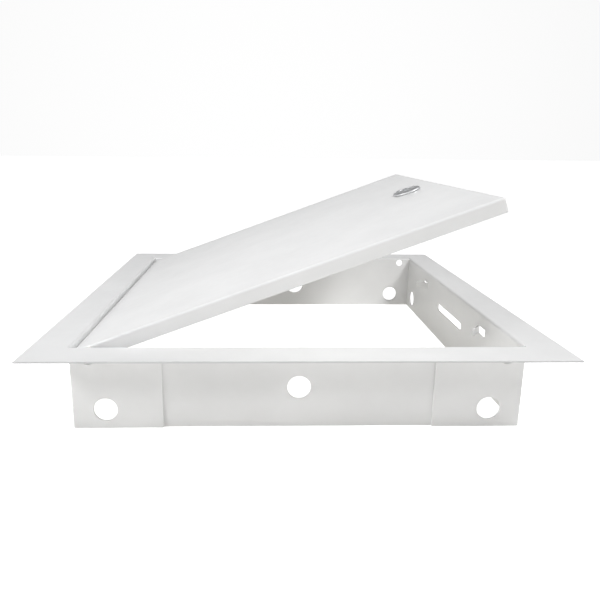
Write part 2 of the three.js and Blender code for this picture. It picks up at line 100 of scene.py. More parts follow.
def arc(x, y, radius, start, end, steps=8):
    """Points on an arc, with its angles in degrees."""
    angles = [math.radians(start + (end - start) * i / steps) for i in range(steps + 1)]
    return [(x + radius * math.cos(a), y + radius * math.sin(a)) for a in angles]


def circle(radius, sides=64, x=0.0, y=0.0):
    return arc(x, y, radius, 0, 360, sides)[:-1]


def rectangle(x0, x1, y0, y1):
    return [(x0, y0), (x1, y0), (x1, y1), (x0, y1)]


def soften(outline, radius, steps=4, sharper_than=35):
    """The outline with each sharp corner rounded, and its gentle ones left."""
    points = []
    for i, point in enumerate(outline):
        here = Vector(point)
        before = here - Vector(outline[i - 1])
        after = Vector(outline[(i + 1) % len(outline)]) - here
        turn = abs(before.angle_signed(after))
        if math.degrees(turn) < sharper_than:
            points.append(point)
            continue
        reach = min(radius * math.tan(turn / 2), 0.45 * before.length, 0.45 * after.length)
        first = here - before.normalized() * reach
        last = here + after.normalized() * reach
        for k in range(steps + 1):
            t = k / steps
            points.append(tuple(first * (1 - t) ** 2 + here * 2 * t * (1 - t) + last * t**2))
    return points


def offset(outline, distance):
    """A counterclockwise outline moved outward by distance."""
    moved = []
    for i, point in enumerate(outline):
        here = Vector(point)
        before = (here - Vector(outline[i - 1])).normalized()
        after = (Vector(outline[(i + 1) % len(outline)]) - here).normalized()
        normal = Vector((before.y + after.y, -before.x - after.x)).normalized()
        stretch = max(normal.dot(Vector((before.y, -before.x))), 0.3)
        moved.append(tuple(here + normal * (distance / stretch)))
    return moved


# ---------- Solids ----------


def loft(rings, turn=Matrix.Identity(4)):
    """A closed solid through rings of 3-D points, capped at both ends."""
    solid = bmesh.new()
    made = [[solid.verts.new(point) for point in ring] for ring in rings]
    count = len(made[0])
    solid.faces.new(list(reversed(made[0])))
    solid.faces.new(made[-1])
    for lower, upper in zip(made, made[1:]):
        for i in range(count):
            j = (i + 1) % count
            solid.faces.new((lower[i], lower[j], upper[j], upper[i]))
    solid.transform(turn)
    bmesh.ops.recalc_face_normals(solid, faces=solid.faces)
    return solid


def levels(outline, steps, turn=Matrix.Identity(4)):
    """A solid from one outline, at (outward offset, height) steps."""
    rings = []
    for outward, height in steps:
        ring = offset(outline, outward) if outward else outline
        rings.append([(x, y, height) for x, y in ring])
    return loft(rings, turn)


def rounding(height, edge, direction, steps=4):
    """(inset, height) pairs from a rounded end's face to its side."""
    inset = [edge * (1 - math.sin(a)) for a in quarter_turn(steps)]
    heights = [height + direction * edge * (1 - math.cos(a)) for a in quarter_turn(steps)]
    return list(zip(inset, heights))


def prism(outline, low, high, edge=EDGE, turn=Matrix.Identity(4)):
    """An outline raised from low to high, with both ends' edges rounded."""
    lower = [(-inset, z) for inset, z in rounding(low, edge, 1)]
    upper = [(-inset, z) for inset, z in rounding(high, edge, -1)]
    return levels(outline, lower + upper[::-1], turn)


def punch(outline, low, high, edge=EDGE, turn=Matrix.Identity(4)):
    """A cutter through a sheet from low to high, which leaves rounded edges."""
    lower = [(edge, low - PAST)] + rounding(low, edge, 1)
    upper = [(edge, high + PAST)] + rounding(high, edge, -1)
    return levels(outline, lower + upper[::-1], turn)


def quarter_turn(steps):
    """Angles from 0 to a right angle, in radians."""
    return [math.pi / 2 * k / steps for k in range(steps + 1)]


def lathe(profile, segments=96, turn=Matrix.Identity(4)):
    """A solid turned about Z, from (radius, height) points in a loop or from axis to axis."""
    solid = bmesh.new()
    ways = [2 * math.pi * i / segments for i in range(segments)]
    rings = []
    for r, z in profile:
        if r < 1e-6:
            rings.append([solid.verts.new((0, 0, z))] * segments)
        else:
            rings.append([solid.verts.new((r * math.cos(a), r * math.sin(a), z)) for a in ways])
    for lower, upper in zip(rings, rings[1:] + rings[:1]):
        for i in range(segments):
            j = (i + 1) % segments
            corners = list(dict.fromkeys((lower[i], lower[j], upper[j], upper[i])))
            if len(corners) > 2:
                solid.faces.new(corners)
    bmesh.ops.remove_doubles(solid, verts=solid.verts, dist=1e-5)
    solid.transform(turn)
    bmesh.ops.recalc_face_normals(solid, faces=solid.faces)
    return solid


def tube(path, radius, sides=12, round_end=False):
    """A round bar along a path of 3-D points, with its far end rounded if asked."""
    points = [Vector(point) for point in path]
    radii = [radius] * len(points)
    if round_end:
        forward = (points[-1] - points[-2]).normalized()
        last = points.pop()
        radii.pop()
        for k in range(6):
            angle = math.pi / 2 * k / 6
            points.append(last - forward * radius * (1 - math.sin(angle)))
            radii.append(radius * math.cos(angle))
    side = None
    rings = []
    for i, point in enumerate(points):
        ahead = points[min(i + 1, len(points) - 1)]
        forward = (ahead - points[max(i - 1, 0)]).normalized()
        if side is None:
            side = forward.orthogonal().normalized()
        side = (side - forward * side.dot(forward)).normalized()
        up = forward.cross(side)
        ring = []
        for k in range(sides):
            angle = 2 * math.pi * k / sides
            ring.append(point + (side * math.cos(angle) + up * math.sin(angle)) * radii[i])
        rings.append(ring)
    return loft(rings)


def combine(base, tool, operation):
    """Base joined with, cut by or kept inside tool (UNION, DIFFERENCE, INTERSECT). Uses both up."""
    made = []
    for solid in (base, tool):
        mesh = bpy.data.meshes.new("working")
        solid.to_mesh(mesh)
        solid.free()
        thing = bpy.data.objects.new("working", mesh)
        bpy.context.scene.collection.objects.link(thing)
        made.append(thing)
    modifier = made[0].modifiers.new("combine", "BOOLEAN")
    modifier.solver = "MANIFOLD"
    modifier.operation = operation
    modifier.object = made[1]
    bpy.context.view_layer.update()
    result = bmesh.new()
    result.from_object(made[0], bpy.context.evaluated_depsgraph_get())
    for thing in made:
        mesh = thing.data
        bpy.data.objects.remove(thing)
        bpy.data.meshes.remove(mesh)
    return result


def join(base, tool):
    return combine(base, tool, "UNION")


def cut(base, *tools):
    for tool in tools:
        base = combine(base, tool, "DIFFERENCE")
    return base


def mirrored(solid, axis):
    """A copy of a solid mirrored across the plane through the origin that axis is normal to."""
    copy = solid.copy()
    bmesh.ops.scale(copy, vec=Vector([-1 if a == axis else 1 for a in "XYZ"]), verts=copy.verts)
    bmesh.ops.reverse_faces(copy, faces=copy.faces)
    return copy


# ---------- Materials ----------


def node(tree, kind, settings=None, **inputs):
    """A shader node with its settings, and its inputs set or linked."""
    made = tree.nodes.new(kind)
    for key, value in (settings or {}).items():
        setattr(made, key, value)
    for key, value in inputs.items():
        socket = made.inputs[key.replace("_", " ")]
        if isinstance(value, bpy.types.NodeSocket):
            tree.links.new(value, socket)
        else:
            socket.default_value = value
    return made


def material_tree(name):
    """A new material, its nodes, its shader, and the place on the piece, in metres."""
    material = bpy.data.materials.new(name)
    material.use_nodes = True
    tree = material.node_tree
    place = node(tree, "ShaderNodeTexCoord").outputs["Object"]
    return material, tree, tree.nodes["Principled BSDF"], place


def noise(tree, place, scale, detail=2.0):
    return node(tree, "ShaderNodeTexNoise", Vector=place, Scale=scale, Detail=detail).outputs["Fac"]


def between(tree, value, low, high, from_low=0.35, from_high=0.65):
    """A value's range, by default the useful middle of a noise, spread from low to high."""
    spread = node(tree, "ShaderNodeMapRange", Value=value, To_Min=low, To_Max=high)
    spread.inputs["From Min"].default_value = from_low
    spread.inputs["From Max"].default_value = from_high
    return spread.outputs["Result"]


def tint(tree, value, first, second):
    """A colour between two, by a noise value."""
    ramp = node(tree, "ShaderNodeValToRGB", Fac=value)
    ramp.color_ramp.elements[0].position = 0.35
    ramp.color_ramp.elements[1].position = 0.65
    ramp.color_ramp.elements[0].color = (*first, 1)
    ramp.color_ramp.elements[1].color = (*second, 1)
    return ramp.outputs["Color"]


def bump(tree, height, distance, strength=1.0, over=None):
    inputs = {"Height": height, "Distance": distance, "Strength": strength}
    if over:
        inputs["Normal"] = over
    return node(tree, "ShaderNodeBump", **inputs).outputs["Normal"]


def plug(tree, shader, **sockets):
    for key, value in sockets.items():
        tree.links.new(value, shader.inputs[key.replace("_", " ")])


def painted_edge_shade(tree, place):
    """1 on the flange's outer, sheared edge, where painted shade greys the coat, and 0 elsewhere."""
    along = node(tree, "ShaderNodeSeparateXYZ", Vector=place).outputs
    sides = []
    for axis in "XY":
        size = node(tree, "ShaderNodeMath", {"operation": "ABSOLUTE"})
        tree.links.new(along[axis], size.inputs[0])
        sides.append(size.outputs["Value"])
    furthest = node(tree, "ShaderNodeMath", {"operation": "MAXIMUM"})
    tree.links.new(sides[0], furthest.inputs[0])
    tree.links.new(sides[1], furthest.inputs[1])
    edge = (HALF - EDGE) * MM
    fade = 0.1 * MM
    return between(tree, furthest.outputs["Value"], 0, 1, edge - fade, edge)


def mixed_colour(tree, factor, first, second):
    """A linked colour turned towards a fixed one."""
    first_socket, second_socket, result = 6, 7, 2  # the node has several sockets of each name
    mix = node(tree, "ShaderNodeMix", {"data_type": "RGBA"})
    tree.links.new(factor, mix.inputs["Factor"])
    tree.links.new(first, mix.inputs[first_socket])
    mix.inputs[second_socket].default_value = (*second, 1)
    return mix.outputs[result]


def powder_coat(name):
    """Satin white coat: orange peel over slightly wavy sheet, with painted shade that greys the
    flange's cut edge.
    """
    material, tree, shader, place = material_tree(name)
    sheet = bump(tree, noise(tree, place, 14, 1), 0.0012, 0.35)
    peel = bump(tree, noise(tree, place, 620, 3), 0.00006, 0.5, sheet)
    tone = tint(tree, noise(tree, place, 22, 4), (0.82, 0.822, 0.824), (0.86, 0.862, 0.864))
    # painted shade: the flange's outer edge face is greyed to stand in for the shade it sits in
    tone = mixed_colour(tree, painted_edge_shade(tree, place), tone, (0.64, 0.645, 0.65))
    plug(tree, shader, Base_Color=tone, Normal=peel)
    plug(tree, shader, Roughness=between(tree, noise(tree, place, 160, 4), 0.3, 0.42))
    shader.inputs["Coat Weight"].default_value = 0.4
    shader.inputs["Coat Roughness"].default_value = 0.2
    return material


def plated_casting(name):
    """Dull bright plate with turning marks in rings about the latch's axis."""
    material, tree, shader, place = material_tree(name)
    settings = {"wave_type": "RINGS", "rings_direction": "Z"}
    rings = node(tree, "ShaderNodeTexWave", settings, Vector=place, Scale=900, Distortion=2.5)
    tone = tint(tree, noise(tree, place, 350, 4), (0.7, 0.71, 0.72), (0.82, 0.83, 0.84))
    plug(tree, shader, Base_Color=tone, Normal=bump(tree, rings.outputs["Fac"], 0.00001, 0.4))
    plug(tree, shader, Roughness=between(tree, noise(tree, place, 700, 3), 0.52, 0.62))
    shader.inputs["Metallic"].default_value = 1.0
    return material


def zinc_plate(name):
    """Zinc plate: soft grey spangle, a little blue, and slightly rough."""
    material, tree, shader, place = material_tree(name)
    cells = node(tree, "ShaderNodeTexVoronoi", Vector=place, Scale=420, Randomness=1.0)
    mottle = node(tree, "ShaderNodeMath", {"operation": "MULTIPLY"})
    tree.links.new(cells.outputs["Distance"], mottle.inputs[0])
    tree.links.new(noise(tree, place, 130, 5), mottle.inputs[1])
    tone = tint(tree, noise(tree, place, 240, 5), (0.47, 0.49, 0.52), (0.62, 0.63, 0.64))
    plug(tree, shader, Base_Color=tone, Normal=bump(tree, mottle.outputs["Value"], 0.00002, 0.5))
    plug(tree, shader, Roughness=between(tree, noise(tree, place, 300, 4), 0.28, 0.5))
    shader.inputs["Metallic"].default_value = 0.95
    return material


def drawn_wire(name):
    """Dark bright-drawn spring wire with fine scale."""
    material, tree, shader, place = material_tree(name)
    grain = noise(tree, place, 1800, 4)
    tone = tint(tree, noise(tree, place, 500, 4), (0.3, 0.31, 0.32), (0.46, 0.47, 0.48))
    plug(tree, shader, Base_Color=tone, Normal=bump(tree, grain, 0.00001, 0.5))
    plug(tree, shader, Roughness=between(tree, grain, 0.25, 0.42))
    shader.inputs["Metallic"].default_value = 1.0
    return material


def natural_nylon(name):
    """Milky nylon that lets a little light in."""
    material, tree, shader, place = material_tree(name)
    tone = tint(tree, noise(tree, place, 260, 3), (0.76, 0.75, 0.7), (0.86, 0.85, 0.81))
    plug(tree, shader, Base_Color=tone, Normal=bump(tree, noise(tree, place, 900, 2), 0.00003, 0.4))
    plug(tree, shader, Roughness=between(tree, noise(tree, place, 300, 2), 0.45, 0.6))
    shader.inputs["Subsurface Weight"].default_value = 0.25
    shader.inputs["Subsurface Scale"].default_value = 0.001
    return material


def nitrile(name):
    """Black rubber with a dull skin."""
    material, tree, shader, place = material_tree(name)
    tone = tint(tree, noise(tree, place, 700, 3), (0.012, 0.012, 0.012), (0.03, 0.03, 0.03))
    plug(tree, shader, Base_Color=tone, Normal=bump(tree, noise(tree, place, 1500, 2), 0.00002, 0.5))
    plug(tree, shader, Roughness=between(tree, noise(tree, place, 400, 2), 0.6, 0.8))
    return material


LOOKS = {
    "white_powder_coat": powder_coat,
    "latch_chrome": plated_casting,
    "zinc_steel": zinc_plate,
    "spring_steel": drawn_wire,
    "nylon": natural_nylon,
    "rubber": nitrile,
}
looks = {name: make(name) for name, make in LOOKS.items()}


# ---------- Pieces ----------


CREASE = 32  # degrees past which an edge is sharp


def make_piece(cad_node, solid, place=Matrix.Identity(4), axes=Matrix.Identity(4)):
    """The finished piece for a CAD node: its mesh put in place, or drawn on axes of its own."""
    solid.transform(place @ Matrix.Scale(MM, 4))
    mesh = bpy.data.meshes.new(cad_node + "_fine")
    solid.to_mesh(mesh)
    solid.free()
    mesh.shade_smooth()
    mesh.set_sharp_from_angle(angle=math.radians(CREASE))
    mesh.materials.append(looks[slot_of[cad_node]])
    piece = bpy.data.objects.new(cad_node + "_fine", mesh)
    bpy.context.scene.collection.objects.link(piece)
    piece.matrix_world = axes
    piece.modifiers.new("normals", "WEIGHTED_NORMAL").keep_sharp = True
    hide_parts(cad_node)
    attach(piece, body_of[cad_node])
    return piece


# ---------- Frame ----------
# Each member is made as the right-hand one, with its wall facing +X, and turned into place.

FIXING_HOLE = 7.95
LAPPED_HOLE = 9.3  # in an end wall, behind the lap's own fixing hole
BACK_HOLE = {"radius": 9.3, "right": 14.4, "height": 24.4}  # the back wall's middle one, off centre
FIXING_FROM_CENTRE = 130.0
FIXING_HEIGHT = 13.5
LAP_LENGTH = 61.0
LAP_TOP = DEPTH - SHEET - 0.8  # a little under the flange strips
LAP_JOIN = {"down": 8.0, "inset": 10.0}  # from the top and the corners to the upper part's wall
RELIEF = 1.1  # radius of the notch at the flange's inner corners
BUTT = 0.05  # room between the side walls and the end walls that they meet
PIN_HOLE = 3.5
PIN_CLEARANCE_HOLE = 6.0
CAM_SLOT = {"reach": 33.5, "half": 3.3, "z": DEPTH - 25.3}
STOP = {"start": 72.0, "length": 14.0, "height": 6.5, "lean": 41.0, "top": DEPTH - 10.7, "corner": 2.0}


def member_section(low):
    """The wall from a height up, the bend and the flange strip, as x and height."""
    centre = WALL_IN + BEND
    bend_z = DEPTH - BEND
    outline = [(WALL_OUT, low)]
    outline += arc(centre, bend_z, BEND_IN, 180, 90, 10)
    outline += [(HALF, DEPTH - SHEET), (HALF, DEPTH)]
    outline += arc(centre, bend_z, BEND, 90, 180, 14)
    outline += [(WALL_IN, low)]
    return soften(outline, EDGE)


def mitred_member(low=0.0):
    """Wall and flange strip, mitred at both ends, with half of each inner corner's bend relief."""
    section = member_section(low)
    body = loft([[(x, side * x, z) for x, z in section] for side in (-1, 1)])
    corner = WALL_IN + BEND / 6
    for side in (-1, 1):
        relief = circle(RELIEF, 24, corner, side * corner)
        body = cut(body, prism(relief, DEPTH - BEND - PAST, DEPTH + PAST, SHARP))
    return body


def wall_hole(radius, y, z):
    """A cutter for a round hole through the wall of a member that faces +X."""
    return punch(circle(radius, 64, y, z), WALL_IN, WALL_OUT, turn=ALONG_X)


def trimmed_ends(body, reach):
    """The member with its wall, below the bend, cut off past reach from the middle."""
    for side in (-1, 1):
        ends = sorted((side * reach, side * (HALF + PAST)))
        block = rectangle(WALL_IN - PAST, WALL_OUT + EDGE / 2, *ends)
        body = cut(body, prism(block, -PAST, DEPTH - BEND, SHARP))
    return body


def end_member():
    """Front or back member, drilled for the hinge pins and the fixings."""
    body = trimmed_ends(mitred_member(), WALL_IN - BUTT)
    holes = [wall_hole(LAPPED_HOLE, side * FIXING_FROM_CENTRE, FIXING_HEIGHT) for side in (-1, 1)]
    holes += [wall_hole(PIN_HOLE, side * HINGE.x, HINGE.z) for side in (-1, 1)]
    return cut(body, *holes)


def with_middle_hole(body):
    return cut(body, wall_hole(FIXING_HOLE, 0, DEPTH / 2))


def back_member():
    return cut(end_member(), wall_hole(BACK_HOLE["radius"], -BACK_HOLE["right"], BACK_HOLE["height"]))


def lapped_wall():
    """A side wall: both its ends turn the corner and lie outside the neighbours' walls."""
    x, y = WALL_OUT - BEND, TAB_OUT - BEND
    tab_end = WALL_OUT - LAP_LENGTH
    outer = arc(x, y, BEND, 0, 90, 12) + [(tab_end, TAB_OUT)]
    inner = [(tab_end, WALL_OUT + BUTT), (WALL_IN, WALL_OUT + BUTT)]
    plan = outer + inner + [(px, -py) for px, py in reversed(outer + inner)]
    wall = prism(soften(plan, 2 * EDGE), 0, LAP_TOP)
    holes = []
    for faces in ((-TAB_OUT, -WALL_OUT - BUTT), (WALL_OUT + BUTT, TAB_OUT)):
        fixing = circle(FIXING_HOLE, 64, FIXING_FROM_CENTRE, FIXING_HEIGHT)
        over_pin = circle(PIN_CLEARANCE_HOLE, 64, -HINGE.x, HINGE.z)
        holes += [punch(outline, *faces, turn=ALONG_Y) for outline in (fixing, over_pin)]
    return cut(wall, *holes)


def side_member():
    """Flange strip and wall in one with the laps, with the corner fixing holes."""
    upper = trimmed_ends(mitred_member(DEPTH - LAP_JOIN["down"]), WALL_IN - LAP_JOIN["inset"])
    holes = [wall_hole(FIXING_HOLE, side * FIXING_FROM_CENTRE, FIXING_HEIGHT) for side in (-1, 1)]
    return cut(join(upper, lapped_wall()), *holes)


def stop_flap():
    """A tongue lanced from the wall, leaning inward away from the middle of the side."""
    low, high = STOP["top"] - STOP["height"] + GAP / 2, STOP["top"] - GAP / 2
    corner = STOP["corner"]
    end = STOP["length"] - corner
    outline = arc(end, low + corner, corner, -90, 0, 6) + arc(end, high - corner, corner, 0, 90, 6)
    flap = prism([(-GAP, low)] + outline + [(-GAP, high)], -SHEET, 0, turn=ALONG_X)
    lean = Matrix.Rotation(math.radians(STOP["lean"]), 4, "Z")
    flap.transform(Matrix.Translation((WALL_OUT - GAP, STOP["start"], 0)) @ lean)
    return flap


def stop_window():
    """A cutter for the opening that a stop's tongue is lanced from."""
    end = STOP["start"] + STOP["length"]
    outline = soften(rectangle(STOP["start"], end, STOP["top"] - STOP["height"], STOP["top"]), 0.6)
    return punch(outline, WALL_IN, WALL_OUT, 0.1, ALONG_X)


def latch_side_member():
    """The side member with the cam's slot and two stops."""
    reach = CAM_SLOT["reach"] - CAM_SLOT["half"]
    slot = arc(reach, CAM_SLOT["z"], CAM_SLOT["half"], -90, 90, 20)
    slot += arc(-reach, CAM_SLOT["z"], CAM_SLOT["half"], 90, 270, 20)
    window, flap = stop_window(), stop_flap()
    other_window, other_flap = mirrored(window, "Y"), mirrored(flap, "Y")
    body = cut(side_member(), punch(slot, WALL_IN, WALL_OUT, turn=ALONG_X), window, other_window)
    return join(join(body, flap), other_flap)


def make_frame():
    """The four members, each a quarter turn on from the one before."""
    members = {
        "frame_right": latch_side_member(),
        "frame_back": back_member(),
        "frame_left": with_middle_hole(side_member()),
        "frame_front": with_middle_hole(end_member()),
    }
    for quarters, (cad_node, body) in enumerate(members.items()):
        body.transform(Matrix.Rotation(quarters * math.pi / 2, 4, "Z"))
        make_piece(cad_node, body)


# ---------- Door ----------
# Drawn closed, with its face level with the flange.

DOOR_GAP = 1.5
DOOR_HALF = WALL_IN - DOOR_GAP
DOOR_BOTTOM = DEPTH - 10.4
DOOR_CORNER = 2.0
BARREL = {"radius": 9.3, "flats": 16.4, "length": 22.3}


def barrel_outline(radius, flats, steps=28):
    """Round with two flats, for the latch's barrel and its hole."""
    angle = math.degrees(math.acos(flats / 2 / radius))
    back = arc(0, 0, radius, angle, 180 - angle, steps)
    return back + arc(0, 0, radius, 180 + angle, 360 - angle, steps)


def door_pan():
    """The folded pan: its outside, its rim and its inside, as one skin."""
    inner = DOOR_HALF - DOOR_CORNER
    corners = [(inner, inner, 0), (-inner, inner, 90), (-inner, -inner, 180), (inner, -inner, 270)]
    outline = []
    for x, y, start in corners:
        outline += arc(x, y, DOOR_CORNER, start, start + 90, 8)
    bend_z = DEPTH - BEND
    steps = []
    for angle in reversed(quarter_turn(8)):
        outward = -SHEET - BEND_IN * (1 - math.cos(angle))
        steps.append((outward, bend_z + BEND_IN * math.sin(angle)))
    for k in range(9):
        angle = math.pi * k / 8
        outward = -SHEET / 2 * (1 + math.cos(angle))
        steps.append((outward, DOOR_BOTTOM + SHEET / 2 * (1 - math.sin(angle))))
    for angle in quarter_turn(12):
        steps.append((-BEND * (1 - math.cos(angle)), bend_z + BEND * math.sin(angle)))
    return levels(outline, steps)


def make_door_panel():
    """The pan, punched for the latch's barrel and the two hinge pins."""
    outline = barrel_outline(BARREL["radius"] + GAP, BARREL["flats"] + 2 * GAP)
    hole = punch(outline, DEPTH - SHEET, DEPTH)
    hole.transform(Matrix.Translation((LATCH_X, 0, 0)))
    pan = cut(door_pan(), hole)
    for side in (-1, 1):
        faces = sorted((side * (DOOR_HALF - SHEET), side * DOOR_HALF))
        pan = cut(pan, punch(circle(PIN_HOLE, 48, HINGE.x, HINGE.z), *faces, turn=ALONG_Y))
    make_piece("door_panel", pan, DOOR_PLACE)


# ---------- Hinge ----------

RETURN_IN = DOOR_HALF - SHEET
PIN = 3.2
PIN_TIP = TAB_OUT - GAP
TIP = {"fixed": 0.8, "sliding": 1.2}  # rounding of each pin's tip
PIN_HEAD = {"radius": 4.0, "height": 2.0, "dome": 0.8, "edge": 0.2}
SHOULDER = RETURN_IN - 2.2  # where the sliding pin steps up from its shaft
SHAFT = 2.5
BRACKET_Y = 123.7
BRACKET_THICK = 1.2
BRACKET = {"near": 6.2, "far": 19.7, "drop": 6.5, "corner": 4.0, "foot_from": 6.7, "foot_length": 11.0}
FINGER = {"bend": 5.0, "drop": 19.0, "behind": 2.2}
SPRING = {"wire": 0.45, "turns": 8, "pitch_when_closed": 2 * 0.45 * 1.04}
SPACER = 5.0


def on_hinge_axis(direction):
    """Lays a Z-axis piece along the hinge axis, its top towards +Y or -Y."""
    turn = Matrix.Rotation(-direction * math.pi / 2, 4, "X")
    return Matrix.Translation(HINGE) @ turn @ Matrix.Translation((0, 0, -HINGE.y))


def make_fixed_pin():
    """A domed head inside the return, and a shank through it with a rounded tip."""
    radius, edge, dome = PIN_HEAD["radius"], PIN_HEAD["edge"], PIN_HEAD["dome"]
    back = RETURN_IN - GAP
    low = back - PIN_HEAD["height"] + dome
    head = [(radius * math.cos(a), low - dome * math.sin(a)) for a in reversed(quarter_turn(8))]
    head += [(radius, back - edge), (radius - edge, back), (PIN, back)]
    tip = arc(PIN - TIP["fixed"], PIN_TIP - TIP["fixed"], TIP["fixed"], 0, 90, 6)
    profile = head + tip + [(0, PIN_TIP)]
    make_piece("hinge_pin_front", lathe(profile, 64, on_hinge_axis(-1)), DOOR_PLACE)


def make_sliding_pin():
    """A stepped pin whose thin end is bent down to make a finger for pulling it back."""
    tip = arc(PIN - TIP["sliding"], PIN_TIP - TIP["sliding"], TIP["sliding"], 0, 90, 8)
    head = [(0, SHOULDER), (PIN - 0.3, SHOULDER), (PIN, SHOULDER + 0.3)] + tip + [(0, PIN_TIP)]
    bend_at = BRACKET_Y - FINGER["behind"]
    radius = FINGER["bend"]
    path = [(HINGE.x, SHOULDER + 1, HINGE.z), (HINGE.x, bend_at + 1, HINGE.z)]
    turn = arc(bend_at, HINGE.z - radius, radius, 90, 180, 14)
    path += [(HINGE.x, y, z) for y, z in turn]
    path += [(HINGE.x, bend_at - radius, HINGE.z - d) for d in (radius + 2, 12, FINGER["drop"])]
    pin = join(lathe(head, 64, on_hinge_axis(1)), tube(path, SHAFT, 32, round_end=True))
    make_piece("hinge_pin_back", pin, DOOR_PLACE)


def make_bracket():
    """An angle: its leg guides the sliding pin and its foot lies on the door's underside."""
    top = DEPTH - SHEET - GAP
    outer = BRACKET_Y + BRACKET_THICK
    corner = BRACKET["corner"]
    near, far = HINGE.x - BRACKET["near"], HINGE.x + BRACKET["far"]
    low = HINGE.z - BRACKET["drop"]
    leg = [(near, top)] + arc(near + corner, low + corner, corner, 180, 270, 8)
    leg += arc(far - corner, low + corner, corner, 270, 360, 8) + [(far, top)]
    leg = prism(soften(leg, 0.3), -outer, -BRACKET_Y, 0.15, ALONG_Y)
    hole = punch(circle(SHAFT + GAP, 48, HINGE.x, HINGE.z), -outer, -BRACKET_Y, 0.15, ALONG_Y)
    foot = rectangle(HINGE.x + BRACKET["foot_from"], far, outer - 1, outer + BRACKET["foot_length"])
    foot = soften(foot, 2.5, 8)
    foot = prism(foot, top - GAP - BRACKET_THICK, top - GAP, 0.15)
    make_piece("hinge_bracket", join(cut(leg, hole), foot), DOOR_PLACE)


def make_spring():
    """Compression spring round the sliding pin, its end coils closed up."""
    wire, turns, per_turn = SPRING["wire"], SPRING["turns"], 32
    start = BRACKET_Y + BRACKET_THICK + GAP + wire
    end = SHOULDER - GAP - wire
    dead = SPRING["pitch_when_closed"]
    radius = SHAFT + GAP + wire
    path = []
    for k in range(turns * per_turn + 1):
        turn = k / per_turn
        live = min(max((turn - 1) / (turns - 2), 0), 1)
        closed = min(turn, 1) + max(turn - turns + 1, 0)
        y = start + dead * closed + (end - start - 2 * dead) * live
        angle = 2 * math.pi * turn
        path.append((HINGE.x + radius * math.cos(angle), y, HINGE.z + radius * math.sin(angle)))
    piece = make_piece("hinge_spring", tube(path, wire, 10), DOOR_PLACE)
    anchor = BRACKET_Y + BRACKET_THICK
    anchor = Vector((HINGE.x, anchor, HINGE.z)) * MM
    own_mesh(piece)


def make_spacer(cad_node, direction):
    """A plain ring between the door's return and the frame's wall."""
    inner, outer = DOOR_HALF + GAP, WALL_IN - GAP
    profile = soften(rectangle(PIN_HOLE, SPACER, inner, outer), 0.2)
    make_piece(cad_node, lathe(profile, 64, on_hinge_axis(direction)), DOOR_PLACE)


# ---------- Latch ----------
# Drawn on the Z axis, with z = 0 at the door's face and the cam in its open place, along -Y.

FLANGE = {"radius": 12.3, "edge": 0.7, "crown": 2.5, "shoulder": 1.0, "lip": 0.5}
COUNTERBORE = 7.8
COUNTERBORE_DEPTH = 1.5
PLUG = {"radius": 5.8, "head": 7.5, "top": 2.1, "bottom": -1.2, "square": 8.0, "tapped": 2.6}
DRIVER_SLOT = {"half": 0.9, "floor": 0.4}
O_RING = {"centre": -9.0, "radius": 5.4, "section": 0.55, "groove": 4.6, "half": 0.9}
LUG = {"inner": 7.4, "outer": 9.1, "half_angle": 10}
TOOTHED = {"teeth": 18, "tip": 12.6, "root": 11.6, "thick": 0.8}
NUT = {"corner": 13.6, "thick": 3.6, "chamfer": 0.8, "face": 12.2}
CAM = {"reach": 36.0, "thick": 2.4, "hub": 9.0, "half": 6.5, "corner": 4.0}
STOP_WASHER = {"radius": 9.2, "thick": 1.2, "play": 2}
THREAD = {"pitch": 1.5, "depth": 0.35}
STOP_WASHER_TOP = -BARREL["length"] - GAP
STOP_WASHER_BOTTOM = STOP_WASHER_TOP - STOP_WASHER["thick"]
CAM_TOP = STOP_WASHER_BOTTOM - GAP
PLUG_END = CAM_TOP - CAM["thick"] - GAP / 2
LOCK_WASHER_TOP = PLUG_END - GAP
LOCK_WASHER = {"inner": 2.6, "outer": 5.0, "thick": 0.8, "half_split": 0.25, "split_at": 35}
SCREW_TOP = LOCK_WASHER_TOP - LOCK_WASHER["thick"] - GAP
SCREW = {"shank": 2.2, "head": 4.6, "crown": 3.0, "height": 2.8, "dome": 1.7, "tip": 0.8, "end": -14.8}
TAPPED_PAST_SCREW = 0.8
CROSS = {"reach": 2.2, "half": 0.5, "depth": 1.5}


def ring_sector(inner, outer, start, end, steps=24):
    return arc(0, 0, outer, start, end, steps) + arc(0, 0, inner, end, start, steps)


def square(side):
    return soften(rectangle(-side / 2, side / 2, -side / 2, side / 2), 0.25)


def threaded_bar(radius, low, high):
    """A bar whose side is a helical thread."""
    around, per_pitch = 72, 8
    count = round((high - low) / THREAD["pitch"] * per_pitch)
    rings = []
    for k in range(count + 1):
        z = low + (high - low) * k / count
        fade = min(1, (z - low) / 0.6, (high - z) / 0.6)
        ring = []
        for i in range(around):
            turn = i / around
            groove = 0.5 - 0.5 * math.cos(2 * math.pi * (z / THREAD["pitch"] - turn))
            r = radius - THREAD["depth"] * (groove if fade == 1 else 1 - fade * (1 - groove))
            ring.append((r * math.cos(2 * math.pi * turn), r * math.sin(2 * math.pi * turn), z))
        rings.append(ring)
    return loft(rings)


